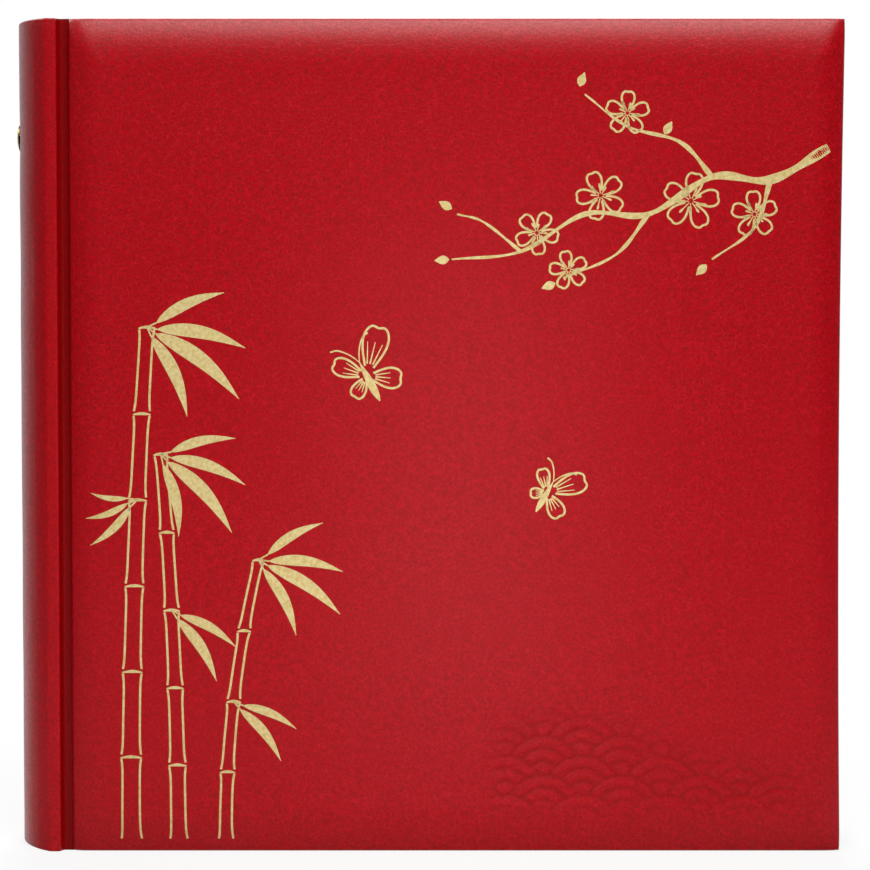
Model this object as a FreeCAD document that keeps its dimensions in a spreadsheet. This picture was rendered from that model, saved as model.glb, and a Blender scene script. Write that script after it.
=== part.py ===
import FreeCAD, Part
import os

# Padded ring-bound stamp album, standing upright with its front cover towards -Y and its spine towards -X.
# The origin is the middle of the footprint, on the surface that the album stands on. Millimetres.

SAME_PLACE = 1e-6

doc = FreeCAD.newDocument("StampAlbum")

# Driving dimensions
SIZES = (
    # case
    ("album_height", 317.0),
    ("front_width", 305.0),
    ("page_gap", 44.0),
    ("shoulder_width", 7.2),
    ("groove_width", 4.4),
    ("spine_bulge", 11.0),
    ("board_thickness", 2.5),
    ("pad_thickness", 3.2),
    ("edge_height", 1.2),
    ("roll_radius", 30.0),
    ("fore_draw", 1.9),
    ("skin_thickness", 0.8),
    ("lining_thickness", 0.5),
    ("lining_margin", 2.5),
    ("glue_gap", 0.1),
    ("joint_depth", 1.2),
    ("joint_clearance", 0.6),
    # ring mechanism
    ("ring_count", 4),
    ("ring_pitch", 80.0),
    ("ring_clearance", 2.6),
    ("wire_radius", 1.4),
    ("ring_gap", 0.1),
    ("ring_rise", 8.5),
    ("hood_clearance", 0.25),
    ("hood_height", 7.5),
    ("hood_sheet", 1.0),
    ("hood_lip", 3.5),
    ("hood_overrun", 22.0),
    ("notch_clearance", 1.6),
    ("notch_width", 7.0),
    ("notch_sill", 4.2),
    ("blade_sheet", 1.0),
    ("bead_radius", 0.9),
    ("bead_gap", 0.3),
    ("blade_gap", 0.2),
    ("blade_inset", 2.0),
    # rivets
    ("rivet_drop", 43.5),
    ("rivet_shank", 2.4),
    ("rivet_gap", 0.1),
    ("dome_radius", 5.7),
    ("dome_rise", 1.2),
    ("clinch_radius", 4.0),
    ("clinch_height", 0.8),
    ("flat_head", 0.8),
    ("blade_clearance", 1.4),
    # leaves
    ("leaves_per_side", 5),
    ("leaf_margin", 10.5),
    ("fore_margin", 8.9),
    ("leaf_card", 0.8),
    ("leaf_pitch", 2.4),
    ("punch_margin", 8.0),
    ("punch_clearance", 1.1),
    ("punch_slide", 5.0),
    ("hang_gap", 0.3),
    ("strip_count", 8),
    ("strip_gap", 6.25),
    ("strip_film", 0.2),
    ("strip_start", 22.0),
    ("strip_border", 6.0),
)

sheet = doc.addObject("Spreadsheet::Sheet", "Sizes")
for row, (alias, value) in enumerate(SIZES, start=1):
    sheet.set("A%d" % row, alias)
    sheet.set("B%d" % row, str(value))
    sheet.setAlias("B%d" % row, alias)
doc.recompute()

# Places worked out from the driving dimensions
PLACES = (
    # stations through the thickness, counted from the middle of the leaves
    ("lining_in", "Sizes.page_gap / 2"),
    ("board_in", "Places.lining_in + Sizes.lining_thickness"),
    ("board_out", "Places.board_in + Sizes.board_thickness"),
    ("shoulder_out", "Places.board_out + Sizes.skin_thickness"),
    ("crown", "Places.board_out + Sizes.pad_thickness + Sizes.skin_thickness"),
    # stations across the front, from the spine to the fore edge
    ("spine_back", "-(Sizes.dome_rise + Sizes.spine_bulge + Sizes.front_width) / 2 + Sizes.dome_rise"),
    ("crease", "Places.spine_back + Sizes.spine_bulge"),
    ("shoulder_end", "Places.crease + Sizes.shoulder_width"),
    ("hinge_x", "Places.shoulder_end + Sizes.groove_width / 2"),
    ("hinge_y", "-(Places.shoulder_out - Sizes.joint_depth)"),
    ("joint_radius", "Sizes.groove_width / 2 - Sizes.joint_clearance"),
    ("cover_left", "Places.shoulder_end + Sizes.groove_width"),
    ("fore_edge", "Places.crease + Sizes.front_width"),
    # round back of the spine
    ("spine_radius", "(Places.shoulder_out ^ 2 + Sizes.spine_bulge ^ 2) / (2 * Sizes.spine_bulge)"),
    ("spine_centre", "Places.spine_back + Places.spine_radius"),
    ("lining_depth", "Sizes.skin_thickness + Sizes.board_thickness + Sizes.lining_thickness"),
    # rolled edge of the padded cover, and the hollow fore edge
    ("edge_drop", "Sizes.pad_thickness + Sizes.skin_thickness - Sizes.edge_height"),
    ("roll_spread", "sqrt(Sizes.roll_radius ^ 2 - (Sizes.roll_radius - Places.edge_drop) ^ 2)"),
    ("roll_overhang", "Sizes.roll_radius - Places.roll_spread"),
    ("draw_radius", "((Sizes.album_height / 2) ^ 2 + Sizes.fore_draw ^ 2) / (2 * Sizes.fore_draw)"),
    ("draw_centre", "Places.fore_edge - Sizes.fore_draw + Places.draw_radius"),
    # ring mechanism
    ("ring_radius", "Sizes.page_gap / 2 - Sizes.ring_clearance - Sizes.wire_radius"),
    ("ring_crossing", "sqrt(Places.ring_radius ^ 2 - Sizes.ring_rise ^ 2)"),
    ("hood_half", "Places.ring_crossing + Sizes.wire_radius + Sizes.hood_clearance"),
    ("lining_radius", "Places.spine_radius - Places.lining_depth"),
    ("hood_reach", "sqrt(Places.lining_radius ^ 2 - Places.hood_half ^ 2)"),
    ("notch_half", "Sizes.wire_radius + Sizes.notch_clearance"),
    ("hood_seat", "Places.spine_centre - Places.hood_reach + Sizes.glue_gap"),
    ("hood_top", "Places.hood_seat + Sizes.hood_height"),
    ("hood_length", "(Sizes.ring_count - 1) * Sizes.ring_pitch + 2 * Sizes.hood_overrun"),
    ("hood_base", "(Sizes.album_height - Places.hood_length) / 2"),
    ("ring_x", "Places.hood_top + Sizes.ring_rise"),
    ("first_ring", "(Sizes.album_height - (Sizes.ring_count - 1) * Sizes.ring_pitch) / 2"),
    ("rivet_hole", "Sizes.rivet_shank + Sizes.rivet_gap"),
    ("blade_x", "Places.hood_seat + Sizes.hood_sheet + Sizes.bead_gap + Sizes.bead_radius"),
    ("blade_y", "-(Places.hood_half - Sizes.hood_sheet - Sizes.bead_gap - Sizes.bead_radius)"),
    # leaves
    ("punch_radius", "Sizes.wire_radius + Sizes.punch_clearance"),
    ("leaf_height", "Sizes.album_height - 2 * Sizes.leaf_margin"),
    ("leaf_reach", "Places.ring_x + Places.ring_radius - Sizes.punch_margin"),
    ("leaf_width", "Places.fore_edge - Sizes.fore_margin - Places.leaf_reach"),
    ("leaf_drop", "Sizes.punch_clearance - Sizes.hang_gap"),
    ("leaf_base", "Sizes.leaf_margin - Places.leaf_drop"),
    ("strip_pitch", "(Places.leaf_height - Sizes.strip_border) / Sizes.strip_count"),
    ("strip_height", "Places.strip_pitch - Sizes.strip_gap"),
)

places = doc.addObject("App::VarSet", "Places")
for name, formula in PLACES:
    places.addProperty("App::PropertyFloat", name)
    places.setExpression(name, formula)
doc.recompute()

nodes = []


def node(item, label):
    item.Label = label
    nodes.append(item)
    return item


def bind(item, formulas):
    for prop, formula in formulas.items():
        item.setExpression(prop, formula)
    return item


def place(item, x="0", y="0", z="0"):
    return bind(item, {"Placement.Base.x": x, "Placement.Base.y": y, "Placement.Base.z": z})


def box(name, x, y, z):
    # each of x, y and z is a pair of formulas, low and high
    item = doc.addObject("Part::Box", name)
    bind(item, {
        "Length": "(%s) - (%s)" % (x[1], x[0]),
        "Width": "(%s) - (%s)" % (y[1], y[0]),
        "Height": "(%s) - (%s)" % (z[1], z[0]),
    })
    return place(item, x[0], y[0], z[0])


def cylinder(name, radius, length, x, y, z, axis="z"):
    item = doc.addObject("Part::Cylinder", name)
    bind(item, {"Radius": radius, "Height": length})
    if axis == "x":
        item.Placement.Rotation = FreeCAD.Rotation(FreeCAD.Vector(0, 1, 0), 90)
    if axis == "y":
        item.Placement.Rotation = FreeCAD.Rotation(FreeCAD.Vector(1, 0, 0), -90)
    return place(item, x, y, z)


def join(kind, name, first, second):
    item = doc.addObject(kind, name)
    item.Base = first
    item.Tool = second
    return item


def cut(name, first, second):
    return join("Part::Cut", name, first, second)


def common(name, first, second):
    return join("Part::Common", name, first, second)


def fuse(name, items):
    item = doc.addObject("Part::MultiFuse", name)
    item.Shapes = items
    return item


def group(name, items):
    item = doc.addObject("Part::Compound", name)
    item.Links = items
    return item


def mirror(item, label):
    # the same piece on the rear half of the album
    copy = doc.addObject("Part::Mirroring", label)
    copy.Source = item
    copy.Normal = FreeCAD.Vector(0, 1, 0)
    return node(copy, label)


def rivet_heights():
    return {"upper": "Sizes.album_height - Sizes.rivet_drop", "lower": "Sizes.rivet_drop"}


# Spine: skin, board and lining follow one rounded outline at growing depths
def spine_outline(name, depth, end_inset, low, high):
    radius = "Places.spine_radius - (%s)" % depth
    half = "Places.shoulder_out - (%s)" % depth
    turn = "Places.spine_centre - sqrt((%s) ^ 2 - (%s) ^ 2)" % (radius, half)
    span = (low, high)
    rod = cylinder(name + "_rod", radius, "(%s) - (%s)" % (high, low), "Places.spine_centre", "0", low)
    back = box(name + "_back", ("Places.spine_back", turn), ("-(%s)" % radius, radius), span)
    end = "Places.shoulder_end - (%s)" % end_inset
    cheeks = box(name + "_cheeks", (turn, end), ("-(%s)" % half, half), span)
    return fuse(name, [common(name + "_round", rod, back), cheeks])


def rivet_holes(name):
    start = "Places.spine_back - Sizes.dome_rise"
    depth = "Places.hood_top - (%s)" % start
    holes = [
        cylinder(name + "_" + which, "Places.rivet_hole", depth, start, "0", height, "x")
        for which, height in rivet_heights().items()
    ]
    return fuse(name, holes)


def spine():
    tall = "Sizes.album_height"
    skin_depth = "Sizes.skin_thickness"
    glued_depth = "Sizes.skin_thickness + Sizes.glue_gap"
    board_depth = "Sizes.skin_thickness + Sizes.board_thickness"
    edge = "Sizes.lining_margin"

    outside = spine_outline("spine_outside", "0", "0", "0", tall)
    pocket = spine_outline("spine_pocket", skin_depth, skin_depth, skin_depth, tall + " - " + skin_depth)
    hollow = spine_outline("spine_hollow", board_depth, "0", "0", tall)
    skin = cut("spine_wrap", cut("spine_sleeve", outside, pocket), hollow)

    glued_top = "%s - (%s)" % (tall, glued_depth)
    stock = spine_outline("spine_stock", glued_depth, glued_depth, glued_depth, glued_top)
    head_seat = cylinder(
        "flat_head_seat", "Sizes.dome_radius + Sizes.rivet_gap", "Sizes.skin_thickness + 2 * Sizes.flat_head",
        "Places.spine_back", "0", rivet_heights()["lower"], "x")
    board = cut("spine_plate_seated", cut("spine_plate", stock, hollow), head_seat)

    edge_top = tall + " - " + edge
    sheet_outside = spine_outline("lining_outside", board_depth + " + Sizes.glue_gap", edge, edge, edge_top)
    sheet_inside = spine_outline("lining_inside", "Places.lining_depth", "0", edge, edge_top)
    lining = cut("spine_sheet", sheet_outside, sheet_inside)

    # only the upper rivet comes out through the skin
    upper_hole = cylinder(
        "upper_skin_hole", "Places.rivet_hole", "Sizes.spine_bulge",
        "Places.spine_back - Sizes.dome_rise", "0", rivet_heights()["upper"], "x")
    node(cut("spine_skin_part", skin, upper_hole), "spine_skin")
    node(cut("spine_board_part", board, rivet_holes("board_holes")), "spine_board")
    node(cut("spine_lining_part", lining, rivet_holes("lining_holes")), "spine_lining")


# Hinge fold beside each shoulder: a bead on the hinge axis and the web that holds it to the shoulder
def cover_joints():
    low = "Sizes.skin_thickness"
    high = "Sizes.album_height - Sizes.skin_thickness"
    bead = cylinder(
        "joint_bead", "Places.joint_radius", "Sizes.album_height - 2 * Sizes.skin_thickness",
        "Places.hinge_x", "Places.hinge_y", low)
    across = ("Places.hinge_y - Sizes.skin_thickness / 2", "Places.hinge_y + Sizes.skin_thickness / 2")
    web = box("joint_web", ("Places.shoulder_end", "Places.hinge_x"), across, (low, high))
    front = node(fuse("front_joint_part", [bead, web]), "front_joint")
    mirror(front, "rear_joint")


# Padded cover: flat crown that rolls down to all four edges, with a slightly hollow fore edge
def fore_edge_tool(name, inset):
    return cylinder(
        name, "Places.draw_radius + (%s)" % inset, "2 * Places.crown",
        "Places.draw_centre", "-2 * Places.crown", "Sizes.album_height / 2", "y")


def cover_outline(name, inset, base, top):
    x = ("Places.cover_left + (%s)" % inset, "Places.fore_edge - (%s)" % inset)
    z = (inset, "Sizes.album_height - (%s)" % inset)
    return box(name, x, ("-(%s)" % top, "-(%s)" % base), z)


def pillow(name, inset, base):
    body = doc.addObject("PartDesign::Body", name + "_body")
    block = body.newObject("PartDesign::AdditiveBox", name + "_block")
    grow = "2 * (Places.roll_overhang - (%s))" % inset
    bind(block, {
        "Length": "Places.fore_edge - Places.cover_left + " + grow,
        "Width": "2 * Sizes.roll_radius",
        "Height": "Sizes.album_height + " + grow,
    })
    place(
        body, "Places.cover_left - Places.roll_overhang + (%s)" % inset,
        "-Places.crown + (%s)" % inset, "-Places.roll_overhang + (%s)" % inset)
    doc.recompute()
    front_y = min(face.CenterOfMass.y for face in block.Shape.Faces)
    front = [
        "Face%d" % number for number, face in enumerate(block.Shape.Faces, start=1)
        if abs(face.CenterOfMass.y - front_y) < SAME_PLACE
    ]
    roll = body.newObject("PartDesign::Fillet", name + "_roll")
    roll.Base = (block, front)
    bind(roll, {"Radius": "Sizes.roll_radius - (%s)" % inset})
    crowned = common(name + "_crowned", body, cover_outline(name + "_slab", inset, base, "Places.crown"))
    return cut(name, crowned, fore_edge_tool(name + "_draw", inset))


def covers():
    skin_depth = "Sizes.skin_thickness"
    glued = "Sizes.skin_thickness + Sizes.glue_gap"
    wrap = cut(
        "cover_wrap", pillow("cover_outside", "0", "Places.board_in"),
        pillow("cover_inside", skin_depth, "Places.board_in"))
    slab = cover_outline("cover_slab", glued, "Places.board_in", "Places.board_out")
    board = cut("cover_board", slab, fore_edge_tool("board_draw", glued))
    pad = pillow("cover_pad", glued, "Places.board_out")
    sheet_slab = cover_outline("lining_slab", "Sizes.lining_margin", "Places.lining_in", "Places.board_in")
    lining = cut("cover_lining", sheet_slab, fore_edge_tool("lining_draw", "Sizes.lining_margin"))
    for name, item in (("skin", wrap), ("board", board), ("pad", pad), ("lining", lining)):
        front = node(item, "front_" + name)
        mirror(front, "rear_" + name)


# Ring mechanism: sheet hood with turned-in lips, riveted to the spine
def ring_heights():
    return ["Places.first_ring + %d * Sizes.ring_pitch" % number for number in range(int(sheet.ring_count))]


def ring_hood():
    length = ("Places.hood_base", "Places.hood_base + Places.hood_length")
    half = "Places.hood_half"
    inner = "Places.hood_half - Sizes.hood_sheet"
    mouth = "Places.hood_half - Sizes.hood_lip"
    shell = box("hood_shell", ("Places.hood_seat", "Places.hood_top"), ("-" + half, half), length)
    hollow = box(
        "hood_hollow", ("Places.hood_seat + Sizes.hood_sheet", "Places.hood_top - Sizes.hood_sheet"),
        ("-(%s)" % inner, inner), length)
    opening = box(
        "hood_mouth", ("Places.hood_seat", "Places.hood_seat + Sizes.hood_sheet"),
        ("-(%s)" % mouth, mouth), length)
    tools = [hollow, opening, rivet_holes("hood_holes")]
    for number, height in enumerate(ring_heights(), start=1):
        span = (height + " - Places.notch_half", height + " + Places.notch_half")
        depth = ("Places.hood_seat + Sizes.notch_sill", "Places.hood_top + Sizes.hood_sheet")
        low = ("-%s - Sizes.hood_sheet" % half, "-%s + Sizes.notch_width" % half)
        high = ("%s - Sizes.notch_width" % half, "%s + Sizes.hood_sheet" % half)
        tools.append(box("front_notch_%d" % number, depth, low, span))
        tools.append(box("rear_notch_%d" % number, depth, high, span))
    node(cut("ring_hood_part", shell, fuse("hood_cuts", tools)), "ring_hood")


# Blades under the hood: each swings on the bead along its outer edge and carries the half rings of its side
def ring_blades():
    low = "Places.hood_base + Sizes.blade_inset"
    length = "Places.hood_length - 2 * Sizes.blade_inset"
    strip = box(
        "blade_strip", ("Places.blade_x - Sizes.blade_sheet / 2", "Places.blade_x + Sizes.blade_sheet / 2"),
        ("Places.blade_y", "-Sizes.blade_gap / 2"), (low, "%s + %s" % (low, length)))
    bead = cylinder("blade_bead", "Sizes.bead_radius", length, "Places.blade_x", "Places.blade_y", low)
    holes = [
        cylinder(
            "blade_relief_" + which, "Sizes.rivet_shank + Sizes.blade_clearance", "Sizes.hood_height",
            "Places.hood_seat", "0", height, "x")
        for which, height in rivet_heights().items()
    ]
    blade = cut("front_blade_part", fuse("blade_rolled", [strip, bead]), fuse("blade_reliefs", holes))
    node(blade, "front_ring_blade")
    mirror(blade, "rear_ring_blade")


def half_rings():
    reach = "Places.ring_radius + 2 * Sizes.wire_radius"
    for number, height in enumerate(ring_heights(), start=1):
        torus = doc.addObject("Part::Torus", "ring_%d_torus" % number)
        bind(torus, {"Radius1": "Places.ring_radius", "Radius2": "Sizes.wire_radius"})
        place(torus, "Places.ring_x", "0", height)
        keep = box(
            "ring_%d_keep" % number, ("Places.blade_x + Sizes.blade_sheet / 2", "Places.ring_x + " + reach),
            ("-(%s)" % reach, "-Sizes.ring_gap / 2"),
            (height + " - 2 * Sizes.wire_radius", height + " + 2 * Sizes.wire_radius"))
        front = node(common("front_half_ring_part_%d" % number, torus, keep), "front_half_ring_%d" % number)
        mirror(front, "rear_half_ring_%d" % number)


# Rivets through spine and hood: the upper one ends in a dome outside, the lower one lies flat under the skin
def rivet_shank(which, start):
    height = rivet_heights()[which]
    shank = cylinder(
        which + "_shank", "Sizes.rivet_shank", "Places.hood_top + Sizes.clinch_height - (%s)" % start,
        start, "0", height, "x")
    clinch = cylinder(
        which + "_clinch", "Sizes.clinch_radius", "Sizes.clinch_height", "Places.hood_top", "0", height, "x")
    return [shank, clinch]


def rivets():
    height = rivet_heights()["upper"]
    ball = doc.addObject("Part::Sphere", "dome_ball")
    ball_radius = "(Sizes.dome_radius ^ 2 + Sizes.dome_rise ^ 2) / (2 * Sizes.dome_rise)"
    bind(ball, {"Radius": ball_radius})
    place(ball, "Places.spine_back - Sizes.dome_rise + " + ball_radius, "0", height)
    column = cylinder(
        "dome_column", "Sizes.dome_radius", "2 * Sizes.dome_rise", "Places.spine_back - Sizes.dome_rise",
        "0", height, "x")
    rod = cylinder(
        "dome_saddle", "Places.spine_radius", "Sizes.album_height", "Places.spine_centre", "0", "0")
    dome = cut("dome_head", common("dome_cap", ball, column), rod)
    node(fuse("upper_rivet_part", [dome] + rivet_shank("upper", "Places.spine_back")), "upper_rivet")

    start = "Places.spine_back + Sizes.skin_thickness + Sizes.flat_head"
    disc = cylinder(
        "flat_head_disc", "Sizes.dome_radius", "Sizes.flat_head", start, "0", rivet_heights()["lower"], "x")
    node(fuse("lower_rivet_part", [disc] + rivet_shank("lower", start)), "lower_rivet")


# Stock leaves: punched card with rows of clear film strips on both faces, threaded on the rings
def punched_slots(name, hole_x, y):
    tools = []
    end = "Sizes.punch_slide / 2"
    depth = "(%s) - (%s)" % (y[1], y[0])
    for number, ring in enumerate(ring_heights(), start=1):
        height = "%s - Places.leaf_drop" % ring
        part = "%s_%d" % (name, number)
        span = (height + " - Places.punch_radius", height + " + Places.punch_radius")
        left = "%s - %s" % (hole_x, end)
        right = "%s + %s" % (hole_x, end)
        tools.append(box(part + "_middle", (left, right), y, span))
        tools.append(cylinder(part + "_left", "Places.punch_radius", depth, left, y[0], height, "y"))
        tools.append(cylinder(part + "_right", "Places.punch_radius", depth, right, y[0], height, "y"))
    return fuse(name, tools)


def leaf(number, offset):
    # offset is how far the middle of the card lies in front of the ring axis
    name = "leaf_%d" % number
    hole_x = "Places.ring_x + sqrt(Places.ring_radius ^ 2 - (%s) ^ 2)" % offset
    left = "%s - Sizes.punch_margin" % hole_x
    right = "%s + Places.leaf_width" % left
    front = "-(%s) - Sizes.leaf_card / 2" % offset
    rear = "-(%s) + Sizes.leaf_card / 2" % offset
    blank = box(
        name + "_blank", (left, right), (front, rear),
        ("Places.leaf_base", "Places.leaf_base + Places.leaf_height"))
    card = cut(name + "_card_part", blank, punched_slots(name + "_slots", hole_x, (front, rear)))

    strips = []
    span_x = ("%s + Sizes.strip_start" % left, "%s - Sizes.strip_border" % right)
    for row in range(int(sheet.strip_count)):
        base = "Places.leaf_base + Sizes.strip_border + %d * Places.strip_pitch" % row
        span_z = (base, base + " + Places.strip_height")
        part = "%s_strip_%d" % (name, row + 1)
        strips.append(box(part + "_front", span_x, (front + " - Sizes.strip_film", front), span_z))
        strips.append(box(part + "_rear", span_x, (rear, rear + " + Sizes.strip_film"), span_z))
    node(card, name + "_card")
    strip_group = node(group(name + "_strips_part", strips), name + "_strips")
    return card, strip_group


def leaves():
    per_side = int(sheet.leaves_per_side)
    for number in range(1, per_side + 1):
        offset = "%d * Sizes.leaf_pitch - Sizes.leaf_pitch / 2" % (per_side + 1 - number)
        card, strip_group = leaf(number, offset)
        opposite = "leaf_%d" % (2 * per_side + 1 - number)
        mirror(card, opposite + "_card")
        mirror(strip_group, opposite + "_strips")


spine()
cover_joints()
covers()
ring_hood()
ring_blades()
half_rings()
rivets()
leaves()
doc.recompute()

# Nothing is written unless every feature was made and every piece is sound
failed = [item.Name for item in doc.Objects if {"Invalid", "Error"} & set(item.State)]
broken = [item.Label for item in nodes if item.Shape.isNull() or not item.Shape.isValid()]
if failed or broken:
    raise RuntimeError("features that failed: %s, pieces that are not sound: %s" % (failed, broken))

os.makedirs("parts", exist_ok=True)
for item in nodes:
    item.Shape.exportStep("parts/%s.step" % item.Label)
    size = item.Shape.BoundBox
    print("%-20s solids %2d  volume %10.1f  x %7.2f %7.2f  y %7.2f %7.2f  z %7.2f %7.2f" % (
        item.Label, len(item.Shape.Solids), item.Shape.Volume,
        size.XMin, size.XMax, size.YMin, size.YMax, size.ZMin, size.ZMax))
print("pieces", len(nodes))
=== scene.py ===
import bpy, bmesh, math
import numpy as np
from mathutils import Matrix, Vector


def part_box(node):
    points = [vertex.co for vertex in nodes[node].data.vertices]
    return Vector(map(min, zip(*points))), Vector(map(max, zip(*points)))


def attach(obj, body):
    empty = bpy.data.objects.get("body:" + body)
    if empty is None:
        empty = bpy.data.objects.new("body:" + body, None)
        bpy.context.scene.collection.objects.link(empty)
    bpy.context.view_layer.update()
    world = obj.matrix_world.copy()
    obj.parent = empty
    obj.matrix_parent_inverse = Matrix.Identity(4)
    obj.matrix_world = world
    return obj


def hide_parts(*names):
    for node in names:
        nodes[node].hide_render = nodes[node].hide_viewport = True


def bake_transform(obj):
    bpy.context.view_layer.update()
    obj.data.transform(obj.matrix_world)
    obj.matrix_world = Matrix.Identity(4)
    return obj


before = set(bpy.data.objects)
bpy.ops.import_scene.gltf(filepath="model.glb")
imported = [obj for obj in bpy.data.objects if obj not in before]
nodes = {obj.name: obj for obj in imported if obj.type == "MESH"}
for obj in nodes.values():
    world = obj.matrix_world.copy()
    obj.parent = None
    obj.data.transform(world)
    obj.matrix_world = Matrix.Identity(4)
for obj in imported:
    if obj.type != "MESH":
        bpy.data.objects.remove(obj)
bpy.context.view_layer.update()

# Padded ring album in red leatherette. Shapes are worked out in millimetres, and meshes hold metres.
mm = 0.001


def boxOf(node):
    low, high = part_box(node)
    return [v / mm for v in low], [v / mm for v in high]


def linear(hexCode):  # sRGB hex to the linear colour that shaders want
    parts = [int(hexCode[i:i + 2], 16) / 255 for i in (1, 3, 5)]
    return tuple(c / 12.92 if c <= 0.04045 else ((c + 0.055) / 1.055) ** 2.4 for c in parts) + (1.0,)


def add(tree, kind, inputs=(), **settings):  # one node with its settings, and what feeds it
    made = tree.nodes.new(kind)
    for key, value in settings.items():
        setattr(made, key, value)
    for key, value in dict(inputs).items():
        if isinstance(value, bpy.types.NodeSocket):
            tree.links.new(value, made.inputs[key])
        else:
            made.inputs[key].default_value = value
    return made


def newMaterial(name):
    made = bpy.data.materials.new(name)
    made.use_nodes = True
    made.node_tree.nodes.clear()
    return made, made.node_tree


def makePiece(name, points, faces, material, smooth=True):
    mesh = bpy.data.meshes.new(name)
    mesh.from_pydata((np.asarray(points) * mm).tolist(), [], faces)
    form = bmesh.new()
    form.from_mesh(mesh)
    bmesh.ops.triangulate(form, faces=[f for f in form.faces if len(f.verts) > 4])
    bmesh.ops.recalc_face_normals(form, faces=form.faces)
    if form.calc_volume(signed=True) < 0:  # inside out
        bmesh.ops.reverse_faces(form, faces=form.faces)
    form.to_mesh(mesh)
    form.free()
    if smooth:
        mesh.shade_smooth()
    mesh.materials.append(material)
    piece = bpy.data.objects.new(name, mesh)
    bpy.context.scene.collection.objects.link(piece)
    return piece


def ease(value, low, high):  # smooth step from 0 at low to 1 at high
    t = np.clip((value - low) / (high - low), 0, 1)
    return t * t * (3 - 2 * t)


def ripples(x, z, seed, wavelength, count=18):  # slow unevenness of cloth glued by hand, about -1 to 1
    dice = np.random.default_rng(seed)
    total = np.zeros(np.shape(x))
    shortest, spread = 0.7, 0.9  # lengths of the waves, as shares of the given one
    for turn, phase, stretch in zip(*dice.uniform(0, 1, (3, count))):
        angle = 2 * math.pi * turn
        length = wavelength * (shortest + spread * stretch)
        total += np.sin(2 * math.pi * ((x * math.cos(angle) + z * math.sin(angle)) / length + phase))
    return total / math.sqrt(count)


leatherLook = {  # colours of body, small dark spots and painted highlights on the crease rims; grain sizes in mm
    "redLeatherette": ("#B80110", "#9C0009", "#CA1024"),
    # second colours: a darker copy of the leatherette, painted shade for the hinge grooves and stamped lines
    "paintedShadeLeatherette": ("#880003", "#7C0002", "#910308"),
    "mirror": {"redLeatherette": 0.42, "paintedShadeLeatherette": 0.2},
    "spot": 1.0, "crackle": 2.0, "warp": 2.2, "warpSize": 1.5, "drift": 2.4, "relief": 0.045,
    "creaseWidth": 0.11, "creaseDepth": 0.8, "dull": 0.4, "smooth": 0.31,  # crease width as a share of a cell
}


def leatherette(name):
    # PU-coated bookbinding cloth, calendered with a fine crackled grain: satin gloss, painted highlights on
    # the crease rims broken up by noise, small dark spots between them. The hinge grooves get a darker copy
    # as painted shade.
    look, (material, tree) = leatherLook, newMaterial(name)
    body, dark, paintedHighlight = (linear(code) for code in look[name])
    place = add(tree, "ShaderNodeTexCoord").outputs["Object"]
    bend = add(tree, "ShaderNodeTexNoise", {
        "Vector": place, "Scale": 1 / (look["warpSize"] * mm), "Detail": 3.0, "Roughness": 0.6})
    shove = add(tree, "ShaderNodeVectorMath", {
        0: bend.outputs["Color"], 1: (look["warp"] * mm,) * 3, 2: place}, operation="MULTIPLY_ADD")
    cells = add(tree, "ShaderNodeTexVoronoi", {
        "Vector": shove.outputs[0], "Scale": 1 / (look["crackle"] * mm)}, feature="DISTANCE_TO_EDGE")
    crease = add(tree, "ShaderNodeMapRange", {
        "Value": cells.outputs["Distance"], "From Min": 0.0, "From Max": look["creaseWidth"],
        "To Min": 1.0, "To Max": 0.0}, interpolation_type="SMOOTHSTEP")
    spots = add(tree, "ShaderNodeTexNoise", {
        "Vector": place, "Scale": 1 / (look["spot"] * mm), "Detail": 3.0, "Roughness": 0.62})
    spot = add(tree, "ShaderNodeMapRange", {"Value": spots.outputs["Fac"], "From Min": 0.4, "From Max": 0.62})
    drift = add(tree, "ShaderNodeTexNoise", {
        "Vector": place, "Scale": 1 / (look["drift"] * mm), "Detail": 4.0, "Roughness": 0.6})
    highlightBreakup = add(tree, "ShaderNodeMapRange", {
        "Value": drift.outputs["Fac"], "From Min": 0.42, "From Max": 0.62, "To Min": 0.05, "To Max": 0.75})
    # painted highlight: pale colour laid along the crease rims, broken up by noise
    rim = add(tree, "ShaderNodeMath", {0: crease.outputs[0], 1: highlightBreakup.outputs[0]}, operation="MULTIPLY")
    ground = add(tree, "ShaderNodeMix", {"Factor": spot.outputs[0], 6: dark, 7: body}, data_type="RGBA")
    tint = add(tree, "ShaderNodeMix", {
        "Factor": rim.outputs[0], 6: ground.outputs[2], 7: paintedHighlight}, data_type="RGBA")
    # painted shade: where the scallops are stamped, the colour moves towards the darker copy
    paintedStampShade = add(tree, "ShaderNodeAttribute", attribute_name="paintedStampShade").outputs["Fac"]
    tint = add(tree, "ShaderNodeMix", {
        "Factor": paintedStampShade, 6: tint.outputs[2], 7: linear(look["paintedShadeLeatherette"][0])}, data_type="RGBA")
    height = add(tree, "ShaderNodeMath", {
        0: crease.outputs[0], 1: -look["creaseDepth"], 2: spots.outputs["Fac"]}, operation="MULTIPLY_ADD")
    bump = add(tree, "ShaderNodeBump", {
        "Height": height.outputs[0], "Strength": 0.5, "Distance": look["relief"] * mm})
    gloss = add(tree, "ShaderNodeMapRange", {
        "Value": spot.outputs[0], "To Min": look["dull"], "To Max": look["smooth"]})
    skin = add(tree, "ShaderNodeBsdfPrincipled", {
        "Base Color": tint.outputs[2], "Roughness": gloss.outputs[0], "IOR": 1.46, "Normal": bump.outputs[0],
        "Specular IOR Level": look["mirror"][name]})
    add(tree, "ShaderNodeOutputMaterial", {"Surface": skin.outputs[0]})
    return material


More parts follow.
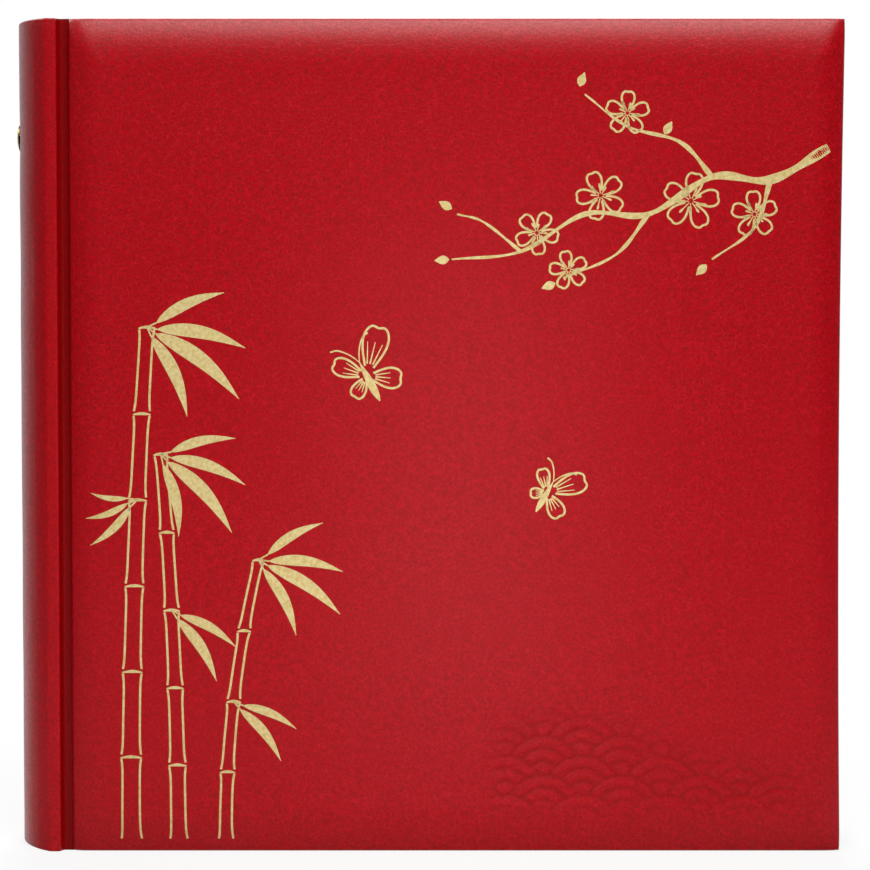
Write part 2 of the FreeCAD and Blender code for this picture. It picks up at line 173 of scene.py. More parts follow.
finishes = {  # colour, second colour, metallic, roughness low and high, grain in mm, relief in mm
    "greyboard": ("#8C867C", "#6F6A62", 0.0, 0.85, 0.95, 0.9, 0.05),
    "liningPaper": ("#1B1A1C", "#121113", 0.0, 0.5, 0.68, 0.7, 0.03),
    "nickelPlate": ("#D2CFC8", "#B9B6B0", 1.0, 0.16, 0.28, 3.0, 0.004),
    "brassRivet": ("#C8AE74", "#9C8450", 1.0, 0.2, 0.36, 1.6, 0.006),
    "stockCard": ("#1D1D1F", "#141416", 0.0, 0.7, 0.85, 0.5, 0.02),
}


def grainedFinish(name):
    # greyboard: pressed waste-paper fibres, dull and flecked
    # liningPaper: black embossed paper with a faint gloss
    # nickelPlate: bright plating over drawn wire and pressed sheet, slightly cloudy
    # brassRivet: plated, dulled in use
    # stockCard: calendered black card, matt, with short fibres
    colour, second, metal, smooth, rough, grain, relief = finishes[name]
    cloudSize = 14 * grain
    material, tree = newMaterial(name)
    place = add(tree, "ShaderNodeTexCoord").outputs["Object"]
    fibre = add(tree, "ShaderNodeTexNoise", {
        "Vector": place, "Scale": 1 / (grain * mm), "Detail": 4.0, "Roughness": 0.65})
    cloud = add(tree, "ShaderNodeTexNoise", {"Vector": place, "Scale": 1 / (cloudSize * mm), "Detail": 3.0})
    share = add(tree, "ShaderNodeMath", {0: fibre.outputs["Fac"], 1: cloud.outputs["Fac"]}, operation="ADD")
    share = add(tree, "ShaderNodeMapRange", {"Value": share.outputs[0], "From Min": 0.75, "From Max": 1.25})
    tint = add(tree, "ShaderNodeMix", {
        "Factor": share.outputs[0], 6: linear(colour), 7: linear(second)}, data_type="RGBA")
    gloss = add(tree, "ShaderNodeMapRange", {"Value": share.outputs[0], "To Min": smooth, "To Max": rough})
    bump = add(tree, "ShaderNodeBump", {
        "Height": fibre.outputs["Fac"], "Strength": 0.5, "Distance": relief * mm})
    surface = add(tree, "ShaderNodeBsdfPrincipled", {
        "Base Color": tint.outputs[2], "Metallic": metal, "Roughness": gloss.outputs[0],
        "Normal": bump.outputs[0]})
    add(tree, "ShaderNodeOutputMaterial", {"Surface": surface.outputs[0]})
    return material


filmLook = {"colour": "#F4F6F7", "roughness": 0.06, "wave": 9.0, "waveDepth": 0.05}  # waves in mm


def clearFilm():
    # polyester film, extruded clear: colourless, glossy, with faint waves that break up its reflections
    material, tree = newMaterial("clearFilm")
    place = add(tree, "ShaderNodeTexCoord").outputs["Object"]
    waves = add(tree, "ShaderNodeTexNoise", {
        "Vector": place, "Scale": 1 / (filmLook["wave"] * mm), "Detail": 2.0})
    bump = add(tree, "ShaderNodeBump", {
        "Height": waves.outputs["Fac"], "Strength": 0.3, "Distance": filmLook["waveDepth"] * mm})
    film = add(tree, "ShaderNodeBsdfPrincipled", {
        "Base Color": linear(filmLook["colour"]), "Roughness": filmLook["roughness"], "IOR": 1.5,
        "Transmission Weight": 1.0, "Normal": bump.outputs[0]})
    add(tree, "ShaderNodeOutputMaterial", {"Surface": film.outputs[0]})
    return material


redLeatherette = leatherette("redLeatherette")
# darker copy of the leatherette: painted shade for the hinge grooves and the stamped lines
paintedShadeLeatherette = leatherette("paintedShadeLeatherette")
materials = {name: grainedFinish(name) for name in finishes}
materials["clearFilm"] = clearFilm()
dress = {  # CAD nodes kept as they are, by the words in their names
    "lining": "liningPaper", "ring": "nickelPlate", "rivet": "brassRivet", "card": "stockCard",
    "strips": "clearFilm",
}
for name, item in nodes.items():
    for word, finish in dress.items():
        if word in name:
            for slot in item.material_slots:
                slot.material = materials[finish]
print("materials ready")


coverPad = {
    "rollRadius": 46.0, "sideRadius": 23.0, "edgeDrop": 4.2, "foreDraw": 1.3, "cornerBlend": 3.0,  # roll-off
    "edgeRound": 1.8, "innerRound": 0.6, "turnIn": 0.08, "turnInWidth": 1.5, "corner": 0.9,  # rim and inside
    "step": 1.9, "edgeStep": 1.0, "edgeSpan": 15.0, "rimSteps": 7, "lipSteps": 5,  # mesh
    "startLower": 0.5, "riseCap": 2.0, "dipCap": 0.2, "swellFrom": 1.5, "swellTo": 32.0,  # padding
    "unevenness": 0.035, "waves": 38.0,
}
padCloth = {
    "count": 56, "frames": 20, "pressure": 4, "quality": 6, "mass": 0.3, "stiffness": 15, "bending": 0.5,
    "heldRows": 2,
}


def foreDraw(z, tall):  # how far the hollow fore edge is drawn in at a height
    return coverPad["foreDraw"] * (1 - (2 * z / tall - 1) ** 2)


def gridLines(length, step, fine):  # 0 to 1 across a length in mm, finer inside the spans (from, to, step)
    marks = [0.0]
    while marks[-1] < length:
        marks.append(marks[-1] + min([s for a, b, s in fine if a <= marks[-1] < b] + [step]))
    return np.array(marks) / marks[-1]


def coverShape(side, columns, rows, lift):
    # closed shell round board and pad: crowned face, rolled rim, side walls and the turn-in on the inside
    low, high = boxOf("front_skin")
    left, fore, tall, crown = low[0], high[0], high[2], -low[1]
    inner = -high[1] - coverPad["turnIn"]
    drop, rim = coverPad["edgeDrop"], coverPad["edgeRound"]
    rolls = [(radius, math.sqrt(radius ** 2 - (radius - drop) ** 2)) for radius in
             (coverPad["sideRadius"], coverPad["rollRadius"])]  # across, then up and down
    slope = sum(math.asin(spread / radius) for radius, spread in rolls) / 2
    inset = rim * (1 - math.sin(slope))

    z = inset + (tall - 2 * inset) * rows[:, None] + 0 * columns[None, :]
    right = fore - foreDraw(z, tall)
    x = left + inset + (right - left - 2 * inset) * columns[None, :]
    fall = []
    for near, (radius, spread) in zip((np.minimum(x - left, right - x), np.minimum(z, tall - z)), rolls):
        reach = np.clip(spread - near, 0, spread)
        fall.append(radius - np.sqrt(radius ** 2 - reach ** 2))
    power = coverPad["cornerBlend"]
    height = crown - (fall[0] ** power + fall[1] ** power) ** (1 / power)
    nearest = np.minimum(np.minimum(x - left, right - x), np.minimum(z, tall - z))
    inside = ease(nearest, coverPad["swellFrom"], coverPad["swellTo"])
    height = height + lift(x, z, inside)
    points = np.stack([x, side * height, z], axis=-1).reshape(-1, 3)

    nx, nz = len(columns), len(rows)
    at = np.arange(nx * nz).reshape(nz, nx)
    quads = np.stack([at[:-1, :-1], at[:-1, 1:], at[1:, 1:], at[1:, :-1]], axis=-1).reshape(-1, 4).tolist()
    loop = np.concatenate([at[0, :], at[1:, -1], at[-1, -2::-1], at[-2:0:-1, 0]])
    way = np.zeros((len(loop), 2))
    row, column = np.divmod(loop, nx)
    way[:, 0] = (column == nx - 1) * 1.0 - (column == 0) * 1.0
    way[:, 1] = (row == nz - 1) * 1.0 - (row == 0) * 1.0
    way[(way != 0).all(axis=1)] *= coverPad["corner"]

    base, edge = points[loop], height.reshape(-1)[loop]
    steps = []
    for angle in np.linspace(slope, math.pi / 2, coverPad["rimSteps"])[1:]:
        out = rim * (math.sin(angle) - math.sin(slope))
        steps.append((out, edge - rim * (math.cos(slope) - math.cos(angle))))
    lip = coverPad["innerRound"]
    for angle in np.linspace(0, math.pi / 2, coverPad["lipSteps"]):
        out = inset - lip * (1 - math.cos(angle))
        steps.append((out, inner + lip * (1 - math.sin(angle)) + 0 * edge))
    steps.append((inset - coverPad["turnInWidth"], inner + 0 * edge))
    last = loop
    for out, level in steps:
        ring = base.copy()
        ring[:, [0, 2]] += way * out
        ring[:, 1] = side * level
        fresh = np.arange(len(points), len(points) + len(ring))
        points = np.concatenate([points, ring])
        quads += np.stack([last, fresh, np.roll(fresh, -1), np.roll(last, -1)], axis=-1).tolist()
        last = fresh
    hub = len(points)  # the inside is closed by a fan round its middle
    points = np.concatenate([points, [[(left + fore) / 2, side * inner, tall / 2]]])
    fan = np.stack([last, np.full(len(last), hub), np.roll(last, -1)], axis=-1)
    return points, quads + fan.tolist(), at


def swellField():
    # cloth run on a coarse cover with rim and back held: pressure fills the leatherette, corners stay low
    count, rows = padCloth["count"], padCloth["heldRows"]
    even = np.linspace(0, 1, count)
    points, faces, at = coverShape(-1, even, even, lambda x, z, inside: -coverPad["startLower"] * inside)
    pad = makePiece("padCloth", points, faces, redLeatherette)
    held = pad.vertex_groups.new(name="held")
    loose = at[rows:-rows, rows:-rows].reshape(-1).tolist()
    held.add(sorted(set(range(len(points))) - set(loose)), 1.0, "REPLACE")
    cloth = pad.modifiers.new("cloth", "CLOTH")
    cloth.settings.quality = padCloth["quality"]
    cloth.settings.mass = padCloth["mass"]
    cloth.settings.tension_stiffness = padCloth["stiffness"]
    cloth.settings.compression_stiffness = padCloth["stiffness"]
    cloth.settings.bending_stiffness = padCloth["bending"]
    cloth.settings.use_pressure = True
    cloth.settings.uniform_pressure_force = padCloth["pressure"]
    cloth.settings.effector_weights.gravity = 0
    cloth.settings.vertex_group_mass = "held"
    cloth.point_cache.frame_end = padCloth["frames"]
    scene = bpy.context.scene
    for step in range(1, padCloth["frames"] + 1):
        scene.frame_set(step)
    shaped = pad.evaluated_get(bpy.context.evaluated_depsgraph_get()).to_mesh()
    moved = np.array([v.co for v in shaped.vertices]) / mm
    rise = (points[:, 1] - moved[:, 1])[at.reshape(-1)].reshape(count, count)
    print("pad cloth rose %.2f mm and is taken down to %.1f mm" % (rise.max(), coverPad["riseCap"]))
    scene.frame_set(1)
    bpy.data.objects.remove(pad)
    return np.clip(rise * coverPad["riseCap"] / rise.max(), -coverPad["dipCap"], None)


def softSample(field, u, v):  # cubic reading of the coarse field at fine places, u and v from 0 to 1
    count = len(field)
    total = 0
    for i in range(-1, 3):
        for j in range(-1, 3):
            weight = 1
            places = []
            for place, k in ((u, i), (v, j)):
                whole = np.clip(np.floor(place * (count - 1)), 0, count - 2)
                t = place * (count - 1) - whole
                weight = weight * [  # Catmull-Rom shares of the four neighbours
                    -t / 2 + t ** 2 - t ** 3 / 2, 1 - 2.5 * t ** 2 + 1.5 * t ** 3,
                    t / 2 + 2 * t ** 2 - 1.5 * t ** 3, -t ** 2 / 2 + t ** 3 / 2][k + 1]
                places.append(np.clip(whole + k, 0, count - 1).astype(int))
            total = total + weight * field[places[1], places[0]]
    return total


def coverPiece(name, side, seed, swell, fineX=(), fineZ=(), press=None):
    low, high = boxOf("front_skin")
    wide, tall, span = high[0] - low[0], high[2], coverPad["edgeSpan"]
    ends = lambda length: [(0, span, coverPad["edgeStep"]), (length - span, length, coverPad["edgeStep"])]
    columns = gridLines(wide, coverPad["step"], ends(wide) + list(fineX))
    rows = gridLines(tall, coverPad["step"], ends(tall) + list(fineZ))

    def lift(x, z, inside):
        grown = softSample(swell, columns[None, :] + 0 * x, rows[:, None] + 0 * x) if swell.any() else 0
        uneven = coverPad["unevenness"] * inside * ripples(x, z, seed, coverPad["waves"])
        shaped = inside * (grown - coverPad["startLower"] * bool(swell.any())) + uneven
        return shaped - (press(x, z) if press else 0)

    points, faces, at = coverShape(side, columns, rows, lift)
    piece = makePiece(name, points, faces, redLeatherette)
    if press:  # the stamped lines also get a darker colour, painted shade
        stampShadeShare = np.zeros(len(points))
        stampShadeShare[at] = press(points[at, 0], points[at, 2]) / scallops["depth"] * scallops["stampShadeShare"]
        piece.data.attributes.new("paintedStampShade", "FLOAT", "POINT").data.foreach_set("value", stampShadeShare)
    print(name, "faces", len(faces))
    return piece


scallops = {  # blind stamping low on the front: rows of nested scallops that fade out at their patch's edges
    # one entry gives how much darker colour is painted into the pressed lines as painted shade
    "radius": 15.0, "rings": (1.0, 0.68, 0.36), "width": 0.8, "depth": 0.3, "stampShadeShare": 0.5, "reach": 1.04,
    "patch": (18.0, 148.0, 9.0, 66.0), "fade": 16.0, "step": 0.75,
    "crestDrop": 14.0, "crestRise": 10.0, "crestLength": 24.0,  # the wavy upper edge of the patch
}


def scallopPress(x, z):  # depth pressed into the leatherette, where the scallop nearest the reader counts
    radius, (left, right, low, high) = scallops["radius"], scallops["patch"]
    away = np.full(np.shape(x), np.inf)
    for row in range(int(high / radius * 2) + 3):
        level = (row - 1) * radius / 2
        start = (row % 2) * radius
        nearest = np.round((x - start) / (2 * radius)) * 2 * radius + start
        reach = np.hypot(x - nearest, z - level)
        away = np.where((reach < scallops["reach"] * radius) & np.isinf(away), reach, away)
    marks = sum(np.exp(-((away - ring * radius) / scallops["width"]) ** 2) for ring in scallops["rings"])
    wave = scallops["crestRise"] * np.sin((x - left) / scallops["crestLength"])
    crest = high - scallops["crestDrop"] + wave
    edge = np.minimum(np.minimum(x - left, right - x), np.minimum(z - low, crest - z))
    return scallops["depth"] * marks * ease(edge, 0.0, scallops["fade"])


swell = swellField()
coverLeft = boxOf("front_skin")[0][0]
patchLeft, patchRight, patchLow, patchHigh = scallops["patch"]
frontCover = coverPiece(
    "frontCoverLeatherette", -1, 11, swell,
    [(patchLeft - coverLeft, patchRight - coverLeft, scallops["step"])],
    [(patchLow, patchHigh, scallops["step"])], scallopPress)
rearCover = coverPiece("rearCoverLeatherette", 1, 23, swell)


foil = {  # half widths of the strokes and other sizes in mm
    "line": 0.42, "fine": 0.3, "proud": 0.03, "step": 0.8, "pressFrom": 60.0, "pressReach": 100.0,
    "colour": "#F4E0A2", "shade": "#E2C67A", "metal": 0.2, "roughness": 0.38, "grain": 1.4, "relief": 0.04,
}
strokes = []  # each stroke is rows of x, z and half width on the front cover


def throughPoints(points, count):  # even run of points on a smooth line through a few given ones
    points = np.asarray(points, float)
    t = np.linspace(0, len(points) - 1, count)
    whole = np.minimum(t.astype(int), len(points) - 2)
    grown = np.concatenate([[2 * points[0] - points[1]], points, [2 * points[-1] - points[-2]]])
    a, b, c, d = (grown[whole + k] for k in range(4))
    f = (t - whole)[:, None]
    return b + f / 2 * (c - a + f * (2 * a - 5 * b + 4 * c - d + f * (3 * (b - c) + d - a)))


def drawStroke(line, width):
    line = np.asarray(line, float)
    strokes.append(np.column_stack([line, np.broadcast_to(width, len(line))]))


def turned(shape, angle):  # a drawn shape turned by degrees
    c, s = math.cos(math.radians(angle)), math.sin(math.radians(angle))
    return np.asarray(shape) @ np.array([[c, s], [-s, c]])


bamboo = {  # foot x, lean at the top, height, joints, half width
    "culms": ((-112.0, 7.0, 196.0, 6, 3.4), (-94.0, -6.0, 148.0, 5, 2.8), (-76.0, 13.0, 108.0, 4, 2.3)),
    "foot": 4.5, "gap": 0.9, "flare": 0.5, "taper": 0.3, "rungOver": 0.3, "rungSag": 0.5, "stalk": 4.0,
    # culm, joint from the foot, then angle and length of each leaf
    "sprays": ((0, 6, (-12, 34), (-38, 40), (-66, 33), (24, 28)), (0, 4, (-160, 17), (-136, 21), (-188, 14)),
               (1, 5, (-20, 30), (-48, 36), (-78, 28), (12, 25)), (1, 3, (-30, 24), (-58, 28)),
               (2, 4, (-8, 28), (-34, 33), (-64, 28), (30, 24)), (2, 2, (-24, 22), (-52, 25))),
    # leaf: width and bow as shares of its length, where it is fullest, how round, half width at its tip
    "leafWidth": 0.15, "leafBow": 0.07, "leafFull": 0.72, "leafRound": 0.9, "leafTip": 0.12,
}


def culmPoint(culm, t):  # place on a culm's middle line, 0 at its foot to 1 at its top
    foot, lean, tall = bamboo["culms"][culm][:3]
    return np.stack([foot + lean * t ** 2, bamboo["foot"] + tall * t], axis=-1)


def drawLeaf(base, angle, length, width):  # solid lens-shaped leaf with a slight bow, hanging at an angle
    t = np.linspace(0, 1, 26)
    bow = bamboo["leafBow"] * length * np.sin(math.pi * t)
    bulk = np.sin(math.pi * t ** bamboo["leafFull"]) ** bamboo["leafRound"]
    drawStroke(
        turned(np.stack([t * length, bow], axis=-1), angle) + base,
        np.maximum(width / 2 * bulk, bamboo["leafTip"]))


def drawBamboo():
    along, across = np.linspace(-1, 1, 30), np.linspace(-1, 1, 12)
    for culm, row in enumerate(bamboo["culms"]):
        tall, joints, half = row[2:]
        gap = bamboo["gap"] / tall
        for joint in range(joints):
            t = np.linspace(joint / joints + gap, (joint + 1) / joints - gap, len(along))
            middle = culmPoint(culm, t)
            taper = half * (1 - bamboo["taper"] * t) + bamboo["flare"] * np.abs(along) ** 6
            for side in (-1, 1):
                drawStroke(middle + np.stack([side * taper, 0 * t], axis=-1), foil["line"])
            reach = taper[-1] + bamboo["rungOver"]
            rung = culmPoint(culm, np.full(len(across), (joint + 1) / joints))
            drawStroke(
                rung + np.stack([across * reach, -bamboo["rungSag"] * across ** 2], axis=-1),
                foil["line"] * (1.5 - 0.8 * np.abs(across)))  # thick in the middle
    for culm, joint, *leaves in bamboo["sprays"]:
        base = culmPoint(culm, np.array(joint / bamboo["culms"][culm][3]))
        for angle, length in leaves:
            way = math.radians(angle)
            start = base + bamboo["stalk"] * np.array([math.cos(way), math.sin(way)])
            drawStroke([base, start], foil["fine"])
            drawLeaf(start, angle, length, bamboo["leafWidth"] * length)


blossom = {
    "branches": (  # points from the thick end, half width there and at the tip
        (((152, 268), (130, 256), (108, 257), (84, 243), (60, 243), (36, 229), (10, 226)), 1.7, 0.4),
        (((108, 257), (96, 270), (76, 276), (60, 288)), 0.9, 0.3),
        (((84, 243), (72, 228), (52, 219)), 0.8, 0.3),
        (((130, 256), (124, 238), (108, 226)), 0.9, 0.3),
        (((36, 229), (22, 240), (12, 243)), 0.6, 0.3)),
    "flowers": (  # x, z, size, turn
        (100, 248, 11.0, 8), (66, 250, 9.5, 40), (124, 243, 9.0, 22),
        (42, 236, 8.5, 60), (76, 281, 8.5, 15), (54, 222, 7.5, 30)),
    "buds": (  # x, z, turn
        (58, 291, 70), (9, 226, 185), (10, 245, 150), (49, 217, 200), (106, 224, 225), (90, 273, 60)),
    "petals": 5, "petalSpread": 0.5, "heart": 0.2, "notch": 0.07, "knots": 0.22,
    "stamens": 9, "stamenTurn": 17, "stamenFrom": 0.08, "stamenTo": 0.4, "stamenMore": 0.08,
    "stamenWidths": (0.2, 0.2, 0.2, 0.2, 0.2, 0.4, 0.55, 0.3),
    "budLength": 5.5, "budWidth": 1.7, "budFull": 0.8, "budTip": 0.15,
}


def drawPetal(centre, angle, size, spread):  # loop from the heart of a flower or body, notched at its tip
    t = np.linspace(0, 1, 40)
    heart, deep = blossom["heart"], blossom["notch"]
    notch = deep * np.exp(-((t - 0.5) / deep) ** 2)
    reach = size * (heart + (1 - heart) * np.sin(math.pi * t) ** 0.8 - notch)
    way = np.radians(angle) + spread * np.cos(math.pi * t)
    drawStroke(centre + np.stack([reach * np.cos(way), reach * np.sin(way)], axis=-1), foil["line"])


def drawBlossoms():
    for points, thick, thin in blossom["branches"]:
        line = throughPoints(points, 14 * len(points))
        knots = 1 + blossom["knots"] * np.sin(np.linspace(0, 7 * len(points), len(line)))
        drawStroke(line, np.linspace(thick, thin, len(line)) * knots)
    for x, z, size, turn in blossom["flowers"]:
        centre = np.array([x, z], float)
        for petal in range(blossom["petals"]):
            drawPetal(centre, turn + 360 / blossom["petals"] * petal, size, blossom["petalSpread"])
        widths = blossom["stamenWidths"]
        for stamen in range(blossom["stamens"]):
            way = math.radians(turn + blossom["stamenTurn"] + 360 / blossom["stamens"] * stamen)
            end = blossom["stamenTo"] + blossom["stamenMore"] * (stamen % 3)
            reach = np.linspace(blossom["stamenFrom"], end, len(widths)) * size
            drawStroke(centre + np.stack([reach * math.cos(way), reach * math.sin(way)], axis=-1), widths)
    for x, z, angle in blossom["buds"]:
        t = np.linspace(0, 1, 14)
        line = turned(np.stack([blossom["budLength"] * t, 0 * t], axis=-1), angle) + np.array([x, z])
        bulk = blossom["budWidth"] * np.sin(math.pi * t ** blossom["budFull"])
        drawStroke(line, np.maximum(bulk, blossom["budTip"]))


butterflies = {
    "places": (  # x, z, size, turn, share of the far wings
        (-22.0, 182.0, 20.0, 28.0, 0.7), (46.0, 138.0, 16.0, -30.0, 0.6)),
    "wings": ((48, 1.0, 0.42), (-32, 0.68, 0.5)),  # angle, length and spread of the upper and lower wing
    "veins": (-0.22, 0.0, 0.22), "veinFrom": 0.24, "veinTo": 0.66, "veinTip": 0.14,
    "bodyLength": 0.85, "bodyWidth": 0.075, "bodyMiddle": 0.62, "bodyFull": 0.7, "bodyTip": 0.2,
    "feeler": ((0, 0.3), (0.1, 0.5), (0.26, 0.68), (0.4, 0.72)), "feelerWidths": (0.2, 0.34),
}


def drawButterflies():
    look = butterflies
    for x, z, size, turn, far in look["places"]:
        centre = np.array([x, z])
        for side, share in ((1, 1.0), (-1, far)):
            for angle, reach, spread in look["wings"]:
                way = 90 + turn - side * (90 - angle)
                drawPetal(centre, way, size * reach * share, spread)
                for vein in look["veins"]:
                    course = math.radians(way) + vein
                    run = np.linspace(look["veinFrom"], look["veinTo"], 8) * size * reach * share
                    drawStroke(
                        centre + np.stack([run * math.cos(course), run * math.sin(course)], axis=-1),
                        np.linspace(foil["fine"], look["veinTip"], 8))
        t = np.linspace(0, 1, 14)
        level = (t - look["bodyMiddle"]) * look["bodyLength"] * size
        body = turned(np.stack([0 * t, level], axis=-1), turn) + centre
        bulk = look["bodyWidth"] * size * np.sin(math.pi * t ** look["bodyFull"])
        drawStroke(body, np.maximum(bulk, look["bodyTip"]))
        for side in (-1, 1):
            feeler = [(side * out, up) for out, up in look["feeler"]]
            line = turned(throughPoints(feeler, 16) * size, turn) + centre
            drawStroke(line, np.linspace(*look["feelerWidths"], 16))


def goldFoil():
    # hot-stamped pigment foil: mostly lacquer with some metal, so pale gold even where it mirrors a dim room
    material, tree = newMaterial("goldFoil")
    place = add(tree, "ShaderNodeTexCoord").outputs["Object"]
    grain = add(tree, "ShaderNodeTexNoise", {
        "Vector": place, "Scale": 1 / (foil["grain"] * mm), "Detail": 4.0})
    share = add(tree, "ShaderNodeMapRange", {
        "Value": grain.outputs["Fac"], "From Min": 0.38, "From Max": 0.68})
    tint = add(tree, "ShaderNodeMix", {
        "Factor": share.outputs[0], 6: linear(foil["colour"]), 7: linear(foil["shade"])}, data_type="RGBA")
    bump = add(tree, "ShaderNodeBump", {
        "Height": grain.outputs["Fac"], "Strength": 0.4, "Distance": foil["relief"] * mm})
    leaf = add(tree, "ShaderNodeBsdfPrincipled", {
        "Base Color": tint.outputs[2], "Metallic": foil["metal"], "Roughness": foil["roughness"],
        "Normal": bump.outputs[0]})
    add(tree, "ShaderNodeOutputMaterial", {"Surface": leaf.outputs[0]})
    return material


def strokeCurves(name):  # all strokes as one curve object, drawn flat: x across, y up the cover
    curve = bpy.data.curves.new(name, "CURVE")
    curve.dimensions = "3D"
    for rows in strokes:
        spline = curve.splines.new("POLY")
        spline.points.add(len(rows) - 1)
        for point, (x, z, half) in zip(spline.points, rows):
            point.co = (x * mm, z * mm, 0, 1)
            point.radius = half * mm
    holder = bpy.data.objects.new(name, curve)
    bpy.context.scene.collection.objects.link(holder)
    return holder


def foilTree():  # strokes become flat ribbons, laid on the cover along the line of the stamping press
    tree = bpy.data.node_groups.new("layFoil", "GeometryNodeTree")
    for name, kind in (("Strokes", "Geometry"), ("Cover", "Object"), ("Step", "Float"), ("Proud", "Float"),
                       ("Foil", "Material")):
        tree.interface.new_socket(name, in_out="INPUT", socket_type="NodeSocket" + kind)
    tree.interface.new_socket("Ribbons", in_out="OUTPUT", socket_type="NodeSocketGeometry")
    given = add(tree, "NodeGroupInput").outputs
    even = add(tree, "GeometryNodeResampleCurve", {
        "Curve": given["Strokes"], "Length": given["Step"]}, mode="LENGTH")
    upright = add(tree, "GeometryNodeSetCurveNormal", {"Curve": even.outputs[0]}, mode="Z_UP")
    band = add(tree, "GeometryNodeCurvePrimitiveQuadrilateral", {"Width": 2.0, "Height": 0.4})
    half = add(tree, "GeometryNodeInputRadius")
    ribbon = add(tree, "GeometryNodeCurveToMesh", {
        "Curve": upright.outputs[0], "Profile Curve": band.outputs[0], "Scale": half.outputs[0],
        "Fill Caps": True})
    flat = add(tree, "ShaderNodeSeparateXYZ", {0: add(tree, "GeometryNodeInputPosition").outputs[0]})
    start = add(tree, "ShaderNodeCombineXYZ", {
        "X": flat.outputs["X"], "Y": -foil["pressFrom"] * mm, "Z": flat.outputs["Y"]})
    cover = add(tree, "GeometryNodeObjectInfo", {"Object": given["Cover"]})
    hit = add(tree, "GeometryNodeRaycast", {
        "Target Geometry": cover.outputs["Geometry"], "Source Position": start.outputs[0],
        "Ray Direction": (0, 1, 0), "Ray Length": foil["pressReach"] * mm})
    face = add(tree, "ShaderNodeMath", {0: flat.outputs["Z"]}, operation="SIGN")
    lift = add(tree, "ShaderNodeMath", {0: face.outputs[0], 1: given["Proud"]}, operation="MULTIPLY")
    laid = add(tree, "ShaderNodeVectorMath", {
        0: hit.outputs["Hit Normal"], 1: lift.outputs[0], 2: hit.outputs["Hit Position"]},
        operation="MULTIPLY_ADD")
    placed = add(tree, "GeometryNodeSetPosition", {
        "Geometry": ribbon.outputs[0], "Position": laid.outputs[0]})
    real = add(tree, "GeometryNodeRealizeInstances", {"Geometry": placed.outputs[0]})
    gilt = add(tree, "GeometryNodeSetMaterial", {"Geometry": real.outputs[0], "Material": given["Foil"]})
    add(tree, "NodeGroupOutput", {0: gilt.outputs[0]})
    return tree


def layFoil(name, cover):
    holder = strokeCurves(name + "Strokes")
    layer = holder.modifiers.new("layFoil", "NODES")
    layer.node_group = foilTree()
    wanted = {"Cover": cover, "Step": foil["step"] * mm, "Proud": foil["proud"] * mm, "Foil": goldFoil()}
    for socket in layer.node_group.interface.items_tree:
        if socket.name in wanted:
            layer[socket.identifier] = wanted[socket.name]
    seen = holder.evaluated_get(bpy.context.evaluated_depsgraph_get())
    mesh = bpy.data.meshes.new_from_object(seen)
    bpy.data.objects.remove(holder)
    piece = bpy.data.objects.new(name, mesh)
    bpy.context.scene.collection.objects.link(piece)
    form = bmesh.new()
    form.from_mesh(mesh)
    bmesh.ops.recalc_face_normals(form, faces=form.faces)
    form.to_mesh(mesh)
    form.free()
    mesh.shade_flat()
    print(name, "strokes", len(strokes), "faces", len(mesh.polygons))
    return piece


drawBamboo()
drawBlossoms()
drawButterflies()
goldDesign = layFoil("goldFoilDesign", frontCover)
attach(goldDesign, "front_cover")
for piece, which in ((frontCover, "front"), (rearCover, "rear")):
    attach(piece, which + "_cover")
    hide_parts(which + "_skin", which + "_pad")
print("covers done")


coverSheets = {  # finish, slot, bevel in mm and how far below the outer face it starts
    "board": ("greyboard", "board", 3.2, 1.0), "lining": ("liningPaper", "lining", 0.2, 0.2),
    "rows": 28,  # along the hollow fore edge
}


def coverSheet(which, kind):  # board or endpaper cut to the hollow fore edge, its outer rim bevelled
    finish, slot, bevel, depth = coverSheets[kind]
    node = which + "_" + kind
    low, high = boxOf(node)
    tall = boxOf(which + "_skin")[1][2]
    side = -1 if which == "front" else 1
    inner, outer = sorted((abs(low[1]), abs(high[1])))
    points = []
    for inset, level in ((0, inner), (0, outer - depth), (bevel, outer)):
        z = np.linspace(low[2] + inset, high[2] - inset, coverSheets["rows"])
        curve = np.stack([high[0] - inset - foreDraw(z, tall), 0 * z + side * level, z], axis=-1)
        ends = [[low[0] + inset, side * level, z[-1]], [low[0] + inset, side * level, z[0]]]
        points.append(np.concatenate([curve, ends]))
    count = len(points[0])
    here = np.arange(count)
    faces = [here.tolist(), (here + 2 * count).tolist()]
    for level in (0, count):
        wall = np.stack([here, np.roll(here, -1), np.roll(here, -1) + count, here + count], axis=-1)
        faces += (wall + level).tolist()
    name = which + kind.capitalize()
    sheet = makePiece(name, np.concatenate(points), faces, materials[finish], smooth=False)
    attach(sheet, which + "_cover")
    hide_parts(node)


for which in ("front", "rear"):
    coverSheet(which, "board")
    coverSheet(which, "lining")


spineWrap = {
    "bulge": 13.8, "insideBulge": 11.0,  # how far the back stands out past the shoulders, outside and inside
    "creaseRound": 3.6, "edgeRound": 1.0, "innerRound": 0.6, "endRound": 0.7, "rowStep": 4.0,
    "backing": 3.36, "skin": 0.9, "boardBacking": 3.3, "boardRound": 0.2,  # depth of the inside, thickness
    "backFrom": -149.0, "unevenness": 0.05, "waves": 46.0, "seed": 7,
    "dimple": 0.22, "dimpleRadius": 5.0, "dimpleFade": 3.5,  # round the rivet head
}


def arcPoints(centre, radius, start, end, count):
    angles = np.radians(np.linspace(start, end, count))
    return np.stack([centre[0] + radius * np.cos(angles), centre[1] + radius * np.sin(angles)], axis=-1)


